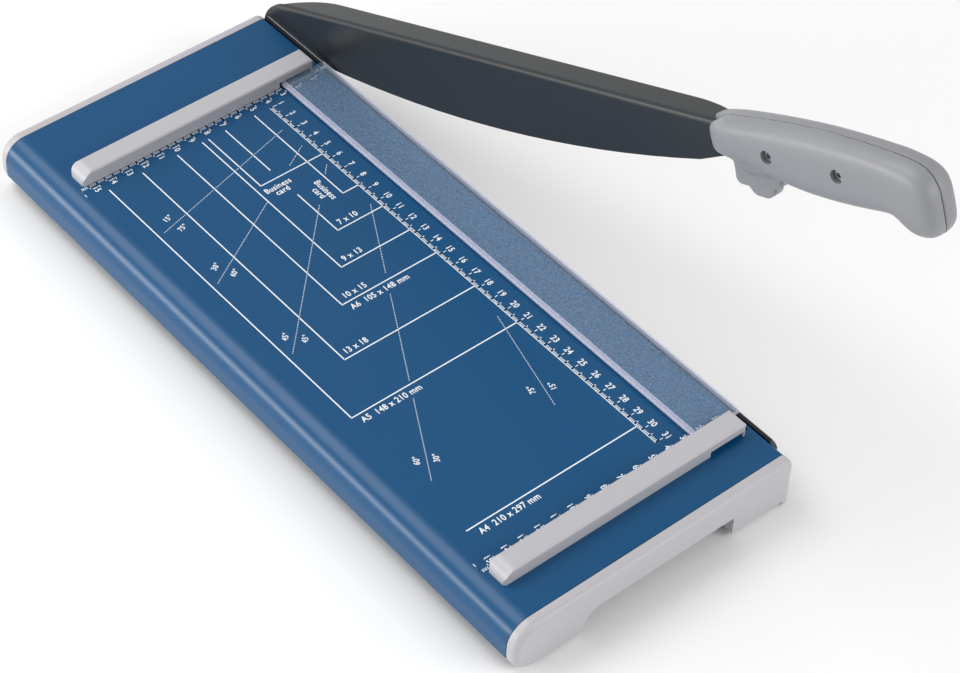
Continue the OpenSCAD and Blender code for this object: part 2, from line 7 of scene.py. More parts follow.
import json
import logging
import math
from dataclasses import dataclass, field
from enum import Enum

import bmesh
import bpy
from mathutils import Matrix, Vector

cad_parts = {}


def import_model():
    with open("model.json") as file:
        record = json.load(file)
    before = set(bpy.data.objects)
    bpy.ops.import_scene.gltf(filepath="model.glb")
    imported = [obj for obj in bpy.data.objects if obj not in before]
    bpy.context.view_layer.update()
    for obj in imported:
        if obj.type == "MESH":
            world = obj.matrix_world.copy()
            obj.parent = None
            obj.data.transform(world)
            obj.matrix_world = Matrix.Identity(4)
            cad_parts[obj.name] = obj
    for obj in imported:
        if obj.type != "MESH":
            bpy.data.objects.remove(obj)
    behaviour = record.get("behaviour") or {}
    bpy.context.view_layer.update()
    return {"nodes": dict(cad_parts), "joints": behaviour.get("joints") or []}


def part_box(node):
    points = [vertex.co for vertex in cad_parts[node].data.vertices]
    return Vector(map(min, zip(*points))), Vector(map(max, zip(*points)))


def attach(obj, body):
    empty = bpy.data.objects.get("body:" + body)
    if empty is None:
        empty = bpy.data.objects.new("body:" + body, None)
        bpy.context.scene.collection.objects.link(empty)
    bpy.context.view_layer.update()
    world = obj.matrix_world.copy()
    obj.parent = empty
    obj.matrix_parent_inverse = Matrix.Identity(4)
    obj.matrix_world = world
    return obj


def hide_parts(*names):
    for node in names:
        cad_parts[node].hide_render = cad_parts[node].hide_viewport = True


LOG = logging.getLogger("trimmer")
MM = 0.001

BASE, ARM = "base", "arm"
# Angle of the arm above the table in the frame's rest pose
REST_DEGREES = 23.85
# Distance within which a corner counts as lying on a plane
TOUCH_MM = 0.01


# ------------------------------------------------------------------ small tools


def linear(code: str, alpha: float = 1.0) -> tuple[float, float, float, float]:
    """Turns an sRGB hex colour into the linear values a shader works in.

    Args:
        code: colour as "#rrggbb".
        alpha: fourth value of the result.

    Returns:
        Linear red, green, blue and alpha.
    """
    parts = [int(code[i : i + 2], 16) / 255 for i in (1, 3, 5)]
    lin = [p / 12.92 if p <= 0.04045 else ((p + 0.055) / 1.055) ** 2.4 for p in parts]
    return lin[0], lin[1], lin[2], alpha


def add_node(
    tree: bpy.types.NodeTree,
    kind: str,
    settings: dict | None = None,
    links: dict | None = None,
) -> bpy.types.Node:
    """Adds one node with its settings and incoming links.

    Args:
        tree: node tree that gets the node.
        kind: Blender's identifier of the node type.
        settings: values by input name, input number or node attribute.
        links: output sockets by input name or input number.

    Returns:
        The new node.
    """
    node = tree.nodes.new(kind)
    for key, value in (settings or {}).items():
        if isinstance(key, int) or key in node.inputs:
            node.inputs[key].default_value = value
        else:
            setattr(node, key, value)
    for key, socket in (links or {}).items():
        tree.links.new(socket, node.inputs[key])
    return node


def per_mm(size: float) -> float:
    """Gives the scale of a noise whose features are size millimetres wide."""
    return 1 / (size * MM)


def deselect() -> None:
    """Leaves nothing selected, so the next operator acts on its own piece only."""
    if bpy.context.object and bpy.context.object.mode != "OBJECT":
        bpy.ops.object.mode_set(mode="OBJECT")
    bpy.ops.object.select_all(action="DESELECT")


def activate(piece: bpy.types.Object) -> None:
    """Selects one piece alone and makes it the active one.

    Args:
        piece: object that the next operator acts on.
    """
    deselect()
    piece.select_set(True)
    bpy.context.view_layer.objects.active = piece


def settle(piece: bpy.types.Object) -> bpy.types.Object:
    """Moves a piece's place, turn and scale into its mesh.

    Args:
        piece: mesh object to settle.

    Returns:
        The same object, now at the origin.
    """
    activate(piece)
    bpy.ops.object.transform_apply(location=True, rotation=True, scale=True)
    return piece


def finish_modifiers(piece: bpy.types.Object) -> None:
    """Applies every modifier of a piece, in order.

    Args:
        piece: mesh object whose modifiers are applied.
    """
    activate(piece)
    for name in [m.name for m in piece.modifiers]:
        bpy.ops.object.modifier_apply(modifier=name)


def join(pieces: list[bpy.types.Object], name: str) -> bpy.types.Object:
    """Joins pieces into the first of them.

    Args:
        pieces: mesh objects, each with its place applied.
        name: name of the result.

    Returns:
        The joined object.
    """
    deselect()
    for piece in pieces:
        piece.select_set(True)
    bpy.context.view_layer.objects.active = pieces[0]
    bpy.ops.object.join()
    pieces[0].name = name
    pieces[0].data.name = name
    return pieces[0]


def edit(piece: bpy.types.Object, pick: str = "VERT") -> bmesh.types.BMesh:
    """Opens a piece in edit mode with nothing selected.

    Args:
        piece: mesh object to edit.
        pick: what is picked, "VERT", "EDGE" or "FACE".

    Returns:
        The piece's mesh, to pick from.
    """
    activate(piece)
    bpy.ops.object.mode_set(mode="EDIT")
    bpy.ops.mesh.select_mode(type=pick)
    bpy.ops.mesh.select_all(action="DESELECT")
    return bmesh.from_edit_mesh(piece.data)


def keep_picks(piece: bpy.types.Object, mesh: bmesh.types.BMesh) -> None:
    """Hands what was picked in code to the next edit operator."""
    mesh.select_flush_mode()
    bmesh.update_edit_mesh(piece.data)


def leave() -> None:
    """Closes edit mode."""
    bpy.ops.object.mode_set(mode="OBJECT")


def smooth(piece: bpy.types.Object, degrees: float = 35) -> None:
    """Shades a piece smooth, with sharp edges above an angle."""
    activate(piece)
    bpy.ops.object.shade_smooth_by_angle(angle=math.radians(degrees))


# ------------------------------------------------------------------ finishes


@dataclass(frozen=True)
class Grain:
    """A fine relief that breaks up a surface's highlight."""

    size_mm: float
    height_mm: float
    strength: float = 1.0


@dataclass(frozen=True)
class Finish:
    """One material: a colour with slow variation, a gloss with variation and a fine grain."""

    name: str
    colour: str
    second_colour: str
    patch_mm: float
    roughness: float
    roughness_spread: float
    grain: Grain
    metallic: float = 0.0
    specular: float = 0.5

    def dress(self) -> bpy.types.Material:
        """Builds the node material.

        Returns:
            The new material.
        """
        material = bpy.data.materials.new(self.name)
        material.use_nodes = True
        tree = material.node_tree
        tree.nodes.clear()
        place = add_node(tree, "ShaderNodeTexCoord")
        colour = self._colour(tree, place.outputs["Object"])
        gloss = self._gloss(tree, place.outputs["Object"])
        relief = self._relief(tree, place.outputs["Object"])
        shader = add_node(
            tree,
            "ShaderNodeBsdfPrincipled",
            self._constants(),
            {"Base Color": colour, "Roughness": gloss, "Normal": relief},
        )
        self._extras(tree, shader, place.outputs["Object"])
        add_node(
            tree, "ShaderNodeOutputMaterial", links={"Surface": shader.outputs["BSDF"]}
        )
        return material

    def _constants(self) -> dict:
        """Gives the shader's settings that are the same all over."""
        return {
            "Metallic": self.metallic,
            "Specular IOR Level": self.specular,
        }

    def _colour(self, tree: bpy.types.NodeTree, place: bpy.types.NodeSocket) -> bpy.types.NodeSocket:
        """Mixes the two colours in soft patches.

        Args:
            tree: the material's nodes.
            place: Object coordinates.

        Returns:
            The colour.
        """
        cloud = add_node(
            tree,
            "ShaderNodeTexNoise",
            {"Scale": per_mm(self.patch_mm), "Detail": 3.0, "Roughness": 0.55},
            {"Vector": place},
        )
        mix = add_node(
            tree,
            "ShaderNodeMix",
            {"data_type": "RGBA", 6: linear(self.colour), 7: linear(self.second_colour)},
            {0: cloud.outputs["Fac"]},
        )
        return mix.outputs[2]

    def _gloss(self, tree: bpy.types.NodeTree, place: bpy.types.NodeSocket) -> bpy.types.NodeSocket:
        """Varies the roughness a little from patch to patch.

        Args:
            tree: the material's nodes.
            place: Object coordinates.

        Returns:
            The roughness.
        """
        cloud = add_node(
            tree,
            "ShaderNodeTexNoise",
            {"Scale": per_mm(self.patch_mm * 0.4), "Detail": 4.0},
            {"Vector": place},
        )
        spread = add_node(
            tree,
            "ShaderNodeMapRange",
            {
                "To Min": self.roughness - self.roughness_spread,
                "To Max": self.roughness + self.roughness_spread,
            },
            {"Value": cloud.outputs["Fac"]},
        )
        return spread.outputs["Result"]

    def _relief(self, tree: bpy.types.NodeTree, place: bpy.types.NodeSocket) -> bpy.types.NodeSocket:
        """Raises the fine grain.

        Args:
            tree: the material's nodes.
            place: Object coordinates.

        Returns:
            The bent normal.
        """
        grain = add_node(
            tree,
            "ShaderNodeTexNoise",
            {"Scale": per_mm(self.grain.size_mm), "Detail": 2.0, "Roughness": 0.6},
            {"Vector": place},
        )
        bump = add_node(
            tree,
            "ShaderNodeBump",
            {"Distance": self.grain.height_mm * MM, "Strength": self.grain.strength},
            {"Height": grain.outputs["Fac"]},
        )
        return bump.outputs["Normal"]

    def _extras(
        self,
        tree: bpy.types.NodeTree,
        shader: bpy.types.Node,
        place: bpy.types.NodeSocket,
    ) -> None:
        """Hook for what a special finish adds to the shader.

        Args:
            tree: the material's nodes.
            shader: the shader to add to.
            place: Object coordinates.
        """


@dataclass(frozen=True)
class GroundEdge(Finish):
    """Dark blade steel with a bright line ground along its cutting edge."""

    edge_x: float = 0.0
    edge_z: float = 0.0
    edge_mm: float = 0.35
    fade: float = 1.4
    edge_colour: str = "#c9ccd0"

    def _extras(
        self,
        tree: bpy.types.NodeTree,
        shader: bpy.types.Node,
        place: bpy.types.NodeSocket,
    ) -> None:
        """Brightens the steel where the edge was ground.

        Args:
            tree: the material's nodes.
            shader: the shader to add to.
            place: Object coordinates.
        """
        split = add_node(tree, "ShaderNodeSeparateXYZ", links={"Vector": place})
        near = []
        for axis, value in (("X", self.edge_x), ("Z", self.edge_z)):
            step = add_node(
                tree,
                "ShaderNodeMapRange",
                {
                    "From Min": value - self.edge_mm * self.fade * MM,
                    "From Max": value - self.edge_mm * MM,
                },
                {"Value": split.outputs[axis]},
            )
            near.append(step.outputs["Result"])
        edge = add_node(tree, "ShaderNodeMath", {"operation": "MULTIPLY"}, {0: near[0], 1: near[1]})
        base = shader.inputs["Base Color"].links[0].from_socket
        mix = add_node(
            tree,
            "ShaderNodeMix",
            {"data_type": "RGBA", 7: linear(self.edge_colour)},
            {0: edge.outputs["Value"], 6: base},
        )
        tree.links.new(mix.outputs[2], shader.inputs["Base Color"])


@dataclass(frozen=True)
class FrostedSheet(Finish):
    """Clear acrylic with a finely frosted top and clear lips along its edges.

    The frost lets the print below show faintly. The lips are clear acrylic, drawn glossy and half
    opaque in a pale lavender that is a painted highlight.
    """

    left_x: float = 0.0
    right_x: float = 0.0
    left_lip_mm: float = 2.3
    right_lip_mm: float = 1.0
    frost_alpha: float = 0.17
    # Painted highlight: the clear lips are drawn pale lavender and half opaque, standing in for light
    # caught in their edges
    lip_alpha: float = 0.5
    lip_colour: str = "#cfd0e6"
    lip_roughness: float = 0.08
    lip_fade_mm: float = 0.2
    speckle_mm: float = 1.3
    speckle_spread: float = 0.1
    speckle_range: tuple[float, float] = (0.3, 0.7)

    def _extras(
        self,
        tree: bpy.types.NodeTree,
        shader: bpy.types.Node,
        place: bpy.types.NodeSocket,
    ) -> None:
        """Paints a pale, half-opaque highlight on the glossy lips and speckles the frost.

        Args:
            tree: the material's nodes.
            shader: the shader to add to.
            place: Object coordinates.
        """
        split = add_node(tree, "ShaderNodeSeparateXYZ", links={"Vector": place})
        fade = self.lip_fade_mm * MM
        inner_left = self.left_x + self.left_lip_mm * MM
        inner_right = self.right_x - self.right_lip_mm * MM
        from_left = add_node(
            tree,
            "ShaderNodeMapRange",
            {"From Min": inner_left - fade, "From Max": inner_left + fade},
            {"Value": split.outputs["X"]},
        )
        from_right = add_node(
            tree,
            "ShaderNodeMapRange",
            {"From Min": inner_right + fade, "From Max": inner_right - fade},
            {"Value": split.outputs["X"]},
        )
        frost = add_node(
            tree,
            "ShaderNodeMath",
            {"operation": "MULTIPLY"},
            {0: from_left.outputs["Result"], 1: from_right.outputs["Result"]},
        )
        speckle = add_node(
            tree,
            "ShaderNodeTexNoise",
            {"Scale": per_mm(self.speckle_mm), "Detail": 2.0, "Roughness": 0.8},
            {"Vector": place},
        )
        veil = add_node(
            tree,
            "ShaderNodeMapRange",
            {
                "From Min": self.speckle_range[0],
                "From Max": self.speckle_range[1],
                "To Min": self.frost_alpha - self.speckle_spread,
                "To Max": self.frost_alpha + self.speckle_spread,
            },
            {"Value": speckle.outputs["Fac"]},
        )
        alpha = add_node(
            tree,
            "ShaderNodeMix",
            {"data_type": "FLOAT", 2: self.lip_alpha},
            {0: frost.outputs["Value"], 3: veil.outputs["Result"]},
        )
        gloss = add_node(
            tree,
            "ShaderNodeMix",
            {"data_type": "FLOAT", 2: self.lip_roughness, 3: self.roughness},
            {0: frost.outputs["Value"]},
        )
        base = shader.inputs["Base Color"].links[0].from_socket
        # Painted highlight: pale lavender laid over the lips where the frost mask falls to zero
        lip_highlight_tint = add_node(
            tree,
            "ShaderNodeMix",
            {"data_type": "RGBA", 6: linear(self.lip_colour)},
            {0: frost.outputs["Value"], 7: base},
        )
        tree.links.new(alpha.outputs[0], shader.inputs["Alpha"])
        tree.links.new(gloss.outputs[0], shader.inputs["Roughness"])
        tree.links.new(lip_highlight_tint.outputs[2], shader.inputs["Base Color"])


class Stock(Enum):
    """The finishes this trimmer is made in."""

    # Powder coat on steel: an even satin blue with a fine orange peel that breaks its highlights
    POWDER_COAT = Finish(
        "powder_coated_steel", "#034e7e", "#054b77", 60, 0.29, 0.03,
        Grain(0.8, 0.035), specular=0.42,
    )
    # Moulded ABS with a spark-eroded mould grain: pale, warm grey and matt
    MOULDED_ABS = Finish(
        "moulded_abs", "#bab8bc", "#bdbbbf", 30, 0.4, 0.04, Grain(0.7, 0.02),
    )
    # Glass-filled nylon of the handle: a slightly cooler grey with a soft sheen
    HANDLE_NYLON = Finish(
        "handle_nylon", "#8e8f93", "#929397", 24, 0.42, 0.05, Grain(0.7, 0.025),
    )
    # Black acetal, moulded: deep black with a dull shine
    BLACK_ACETAL = Finish(
        "black_acetal", "#141416", "#1a1a1c", 10, 0.4, 0.05, Grain(0.6, 0.01),
    )
    # Nitrile rubber feet: dull and dusty
    NITRILE_RUBBER = Finish(
        "nitrile_rubber", "#232323", "#2b2a29", 8, 0.8, 0.06, Grain(0.5, 0.03),
    )
    # Non-stick coating on spring steel: charcoal with a cool, soft sheen
    COATED_STEEL = Finish(
        "coated_blade_steel", "#202427", "#25292b", 50, 0.34, 0.04,
        Grain(0.9, 0.03), specular=0.6,
    )
    # Bright zinc plate on fasteners: metal with a faint cloudy bloom
    ZINC_PLATE = Finish(
        "zinc_plate", "#b9bcc0", "#a6aab0", 3, 0.3, 0.08, Grain(0.5, 0.006), metallic=1.0,
    )
    # Plain spring wire and strip: darker, drawn metal
    SPRING_STEEL = Finish(
        "spring_steel", "#85878b", "#6f7176", 4, 0.35, 0.06, Grain(0.5, 0.008), metallic=1.0,
    )
    # Turned brass of the pivot's bush: yellow metal, a little dull
    BEARING_BRASS = Finish(
        "bearing_brass", "#a98a4f", "#8f7443", 2, 0.42, 0.06, Grain(0.4, 0.012), metallic=1.0,
    )
    # Screen-printed ink: a soft white that is a little uneven
    SCREEN_INK = Finish(
        "screen_printed_ink", "#fbfdff", "#f2f6fa", 6, 0.55, 0.05, Grain(0.6, 0.004),
    )


def recoat(node: bpy.types.Object, material: bpy.types.Material) -> None:
    """Gives a CAD node a better material on its own slots.

    Args:
        node: CAD node, whose mesh stays as it is.
        material: material for every slot.
    """
    if not node.material_slots:
        node.data.materials.append(material)
    for slot in node.material_slots:
        slot.material = material


# ------------------------------------------------------------------ where things are


@dataclass(frozen=True)
class Datum:
    """The planes that the print and the other added pieces are set out from, in metres."""

    edge_x: float
    fence_y: float
    front_y: float
    top_z: float

    @classmethod
    def from_frame(cls) -> "Datum":
        """Reads the planes from the frame's nodes.

        Returns:
            The planes.
        """
        return cls(
            edge_x=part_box("lower_blade")[1].x,
            fence_y=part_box("rear_fence")[0].y,
            front_y=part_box("front_fence")[1].y,
            top_z=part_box("table_plate")[1].z,
        )

    def at(self, across: float, down: float) -> Vector:
        """Finds a printed point.

        Args:
            across: millimetres to the left of the cutting edge.
            down: millimetres in front of the rear fence.

        Returns:
            The point on the table, in metres.
        """
        return Vector((self.edge_x - across * MM, self.fence_y - down * MM, self.top_z))


# ------------------------------------------------------------------ print


@dataclass(frozen=True)
class Ticks:
    """Equal strokes along a ruler, in millimetres: reach, step, first place and how many."""

    reach: float
    step: float
    first: float
    count: int


@dataclass(frozen=True)
class AngleLine:
    """A dotted line: its angle, its ends, stretches left out for labels, and its two labels."""

    degrees: int
    gaps: tuple[tuple[float, float], ...]
    start: tuple[float, float]
    end: tuple[float, float]
    left: tuple[float, float]
    right: tuple[float, float]


# Millimetres, half centimetres and centimetres
EDGE_TICKS = (Ticks(1.7, 1, 10, 301), Ticks(2.8, 5, 15, 60), Ticks(4.6, 10, 10, 31))
FENCE_TICKS = (Ticks(1.7, 1, 1, 160), Ticks(2.9, 5, 5, 32), Ticks(4.6, 10, 10, 16))
# Width and depth of each format that is drawn as a whole L
FORMATS = ((55, 85), (85, 55), (89, 127), (105, 148), (127, 178), (148, 210))
FORMAT_LABELS = (
    ("7 x 10", (64.4, 100.8)),
    ("9 x 13", (79.0, 122.9)),
    ("10 x 15", (94.0, 143.9)),
    ("A6  105 x 148 mm", (84.5, 152.3)),
    ("13 x 18", (117.0, 173.9)),
    ("A5  148 x 210 mm", (127.0, 214.3)),
    ("A4  210 x 297 mm", (127.4, 301.3)),
)
CARD_LABEL = "Business\ncard"
ANGLES = (
    AngleLine(15, (), (144.0, 52.6), (50.0, 27.5), (136.8, 45.3), (134.7, 55.3)),
    AngleLine(30, ((17, 46),), (49.7, 43.5), (144.5, 98.4), (138.2, 88.2), (133.3, 97.4)),
    AngleLine(45, ((8, 31),), (48.4, 63.0), (144.4, 159.4), (140.1, 148.2), (133.3, 155.2)),
    AngleLine(
        60, ((50, 65), (124, 136)), (49.3, 100.5), (143.4, 264.2), (140.7, 249.8), (132.2, 254.1)
    ),
    AngleLine(75, (), (49.9, 201.3), (66.6, 263.4), (68.8, 248.5), (59.1, 252.8)),
)


@dataclass
class PrintedScales:
    """White rulers, paper formats and angle lines printed on the table."""

    datum: Datum
    ink_mm: float = 0.03
    lift_mm: float = 0.01
    line_mm: float = 0.66
    tick_mm: float = 0.42
    digit_mm: float = 4.9
    label_mm: float = 5.2
    angle_mm: float = 4.3
    narrow: float = 0.86
    boldness: float = 0.02
    curve_steps: int = 3
    row_gap: float = 0.8
    letter_gap: float = 1.06
    scale_x: float = 45.0
    spine_mm: float = 0.5
    spine_ends: tuple[float, float] = (9.8, 310.2)
    edge_digits_x: float = 37.8
    last_edge_cm: int = 31
    fence_end: float = 160
    fence_end_reach: float = 6.6
    fence_end_mm: float = 0.45
    fence_digit_shift: tuple[float, float] = (2.6, 4.7)
    last_fence_cm: int = 15
    fence_start: float = 0.3
    front_inset: float = 0.2
    head: float = 9.5
    small_x: float = 74
    small_stretches: tuple = ((9.5, 48.5), (71.5, 105))
    small_foot: tuple[float, float] = (74.3, 105)
    a4_start: tuple[float, float] = (150, 297)
    dot_r: float = 0.27
    dot_sides: int = 8
    dot_pitch: float = 1.15
    parts: list[bpy.types.Object] = field(default_factory=list)

    def _raise(self, piece: bpy.types.Object) -> bpy.types.Object:
        """Gives a flat shape the thickness of ink and keeps it for the join.

        Args:
            piece: flat mesh object.

        Returns:
            The same object.
        """
        mesh = edit(piece)
        for face in mesh.faces:
            face.select = True
        keep_picks(piece, mesh)
        bpy.ops.mesh.extrude_region_move(
            TRANSFORM_OT_translate={"value": (0, 0, self.ink_mm * MM)}
        )
        leave()
        self.parts.append(piece)
        return piece

    def _stroke(
        self, start: tuple[float, float], end: tuple[float, float], width: float
    ) -> bpy.types.Object:
        """Draws one straight stroke between two printed points.

        Args:
            start: one end, across and down in millimetres.
            end: the other end.
            width: width of the stroke in millimetres.

        Returns:
            The stroke.
        """
        a, b = self.datum.at(*start), self.datum.at(*end)
        middle, run = (a + b) / 2, b - a
        deselect()
        bpy.ops.mesh.primitive_plane_add(
            size=1,
            location=(middle.x, middle.y, middle.z + self.lift_mm * MM),
            rotation=(0, 0, math.atan2(run.y, run.x)),
        )
        piece = bpy.context.object
        piece.scale = (run.length, width * MM, 1)
        return self._raise(settle(piece))

    def _repeat(
        self, piece: bpy.types.Object, step: tuple[float, float], count: int
    ) -> None:
        """Repeats a stroke or a dot.

        Args:
            piece: what is repeated.
            step: millimetres across and down from one to the next.
            count: how many there are in all.
        """
        array = piece.modifiers.new("every_step", "ARRAY")
        array.use_relative_offset = False
        array.use_constant_offset = True
        array.constant_offset_displace = (-step[0] * MM, -step[1] * MM, 0)
        array.count = count
        finish_modifiers(piece)

    def _write(
        self,
        words: str,
        centre: tuple[float, float],
        degrees: float,
        size: float,
    ) -> None:
        """Sets words on the table.

        Args:
            words: what is printed.
            centre: middle of the words, across and down in millimetres.
            degrees: turn of the reading direction from the table's +X.
            size: letter size in millimetres.
        """
        spot = self.datum.at(*centre)
        deselect()
        bpy.ops.object.text_add(
            location=(spot.x, spot.y, spot.z + self.lift_mm * MM),
            rotation=(0, 0, math.radians(degrees)),
        )
        text = bpy.context.object
        text.data.body = words
        text.data.size = size * MM
        text.data.align_x = "CENTER"
        text.data.align_y = "CENTER"
        text.data.offset = self.boldness * size * MM
        text.data.resolution_u = self.curve_steps
        text.data.space_line = self.row_gap
        text.data.space_character = self.letter_gap
        text.scale = (self.narrow, 1, 1)
        bpy.ops.object.convert(target="MESH")
        self._raise(settle(bpy.context.object))

    def _edge_ruler(self) -> None:
        """Rules the scale along the cut, in centimetres from 1 to 31."""
        x = self.scale_x
        self._stroke((x, self.spine_ends[0]), (x, self.spine_ends[1]), self.spine_mm)
        for row in EDGE_TICKS:
            tick = self._stroke((x, row.first), (x - row.reach, row.first), self.tick_mm)
            self._repeat(tick, (0, row.step), row.count)
        for n in range(1, self.last_edge_cm + 1):
            self._write(str(n), (self.edge_digits_x, n * 10), -90, self.digit_mm)

    def _fence_ruler(self, start: float, away: int) -> None:
        """Rules the scale along a fence, numbered from the cut.

        Args:
            start: distance of the scale in front of the rear fence, in millimetres.
            away: +1 if the ticks run towards the front, -1 towards the rear.
        """
        for row in FENCE_TICKS:
            tick = self._stroke(
                (row.first, start), (row.first, start + away * row.reach), self.tick_mm
            )
            self._repeat(tick, (row.step, 0), row.count)
        end = self.fence_end
        self._stroke((end, start), (end, start + away * self.fence_end_reach), self.fence_end_mm)
        across, down = self.fence_digit_shift
        for n in range(1, self.last_fence_cm + 1):
            self._write(str(n), (n * 10 + across, start + away * down), -90, self.digit_mm)

    def _formats(self) -> None:
        """Draws the paper formats, each an L that opens on the scale along the cut."""
        x = self.scale_x
        for left, depth in FORMATS:
            self._stroke((left, self.head), (left, depth), self.line_mm)
            self._stroke((left + self.line_mm / 2, depth), (x, depth), self.line_mm)
        for begin, end in self.small_stretches:
            self._stroke((self.small_x, begin), (self.small_x, end), self.line_mm)
        self._stroke(self.small_foot, (x, self.small_foot[1]), self.line_mm)
        self._stroke(self.a4_start, (x, self.a4_start[1]), self.line_mm)
        for words, centre in FORMAT_LABELS:
            self._write(words, centre, 0, self.label_mm)
        self._write(CARD_LABEL, (78.0, 62.4), 0, self.label_mm)
        self._write(CARD_LABEL, (62.6, 77.5), -90, self.label_mm)

    def _angles(self) -> None:
        """Dots the angle lines and writes both angles beside each."""
        for line in ANGLES:
            self._dots(line)
            self._write(f"{line.degrees}°", line.left, line.degrees, self.angle_mm)
            self._write(f"{90 - line.degrees}°", line.right, line.degrees, self.angle_mm)

    def _dots(self, line: AngleLine) -> None:
        """Lays a row of dots, left out where a label stands in the way.

        Args:
            line: the line that the dots follow.
        """
        start, pitch = line.start, self.dot_pitch
        run = (line.end[0] - start[0], line.end[1] - start[1])
        length = math.hypot(*run)
        step = (run[0] / length * pitch, run[1] / length * pitch)
        stops = [0.0, *[v for gap in line.gaps for v in gap], length]
        for begin, finish in zip(stops[::2], stops[1::2]):
            where = self.datum.at(
                start[0] + run[0] * begin / length, start[1] + run[1] * begin / length
            )
            deselect()
            bpy.ops.mesh.primitive_circle_add(
                vertices=self.dot_sides,
                radius=self.dot_r * MM,
                fill_type="NGON",
                location=(where.x, where.y, where.z + self.lift_mm * MM),
            )
            dot = self._raise(settle(bpy.context.object))
            self._repeat(dot, step, int((finish - begin) / pitch) + 1)

    def build(self, ink: bpy.types.Material) -> bpy.types.Object:
        """Prints everything as one piece.

        Args:
            ink: the ink's material.

        Returns:
            The printed piece.
        """
        self._edge_ruler()
        self._fence_ruler(self.fence_start, 1)
        gap_mm = (self.datum.fence_y - self.datum.front_y) / MM
        self._fence_ruler(gap_mm - self.front_inset, -1)
        self._formats()
        self._angles()
        piece = join(self.parts, "printed_scales")
        piece.data.materials.clear()
        piece.data.materials.append(ink)
        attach(piece, BASE)
        return piece


# ------------------------------------------------------------------ handle


@dataclass(frozen=True)
class Station:
    """One section of the handle: distance from the pivot, top, bottom and outer side."""

    along: float
    top: float
    low: float
    out: float


LEFT_NOSE = (
    Station(345.4, 25.9, 14.4, 0.24),
    Station(346.2, 26.8, 13.4, 0.36),
    Station(348.6, 27.8, 12.9, 0.54),
    Station(352.0, 29.6, 12.6, 0.72),
    Station(356.5, 31.8, 12.6, 0.86),
)
RIGHT_NOSE = (
    Station(347.2, 29.4, 14.0, 0.90),
    Station(348.0, 30.2, 13.2, 0.96),
    Station(350.5, 30.7, 12.9, 1.0),
    Station(353.0, 31.1, 12.6, 1.0),
    Station(356.5, 31.8, 12.6, 1.0),
)
GRIP = (
    Station(363.0, 32.7, 12.7, 1.0),
    Station(371.0, 33.5, 12.2, 1.0),
    Station(380.0, 34.4, 10.5, 1.0),
    Station(392.0, 35.4, 7.7, 1.0),
    Station(406.0, 36.2, 5.6, 1.0),
    Station(424.0, 36.5, 5.0, 1.0),
    Station(442.0, 35.8, 5.8, 1.0),
    Station(453.0, 35.1, 6.8, 1.0),
    Station(458.5, 34.7, 7.0, 1.0),
    Station(462.0, 34.3, 5.8, 1.0),
    Station(465.0, 33.9, 3.4, 1.0),
    Station(468.0, 33.5, 0.8, 1.0),
    Station(472.0, 32.7, -0.5, 1.0),
    Station(476.5, 30.9, -0.4, 0.97),
    Station(479.8, 27.8, 0.8, 0.87),
    Station(482.0, 24.0, 3.0, 0.68),
    Station(482.9, 20.0, 6.5, 0.42),
)


class Side(Enum):
    """The two halves of the handle; the value points away from the parting plane."""

    LEFT = -1
    RIGHT = 1


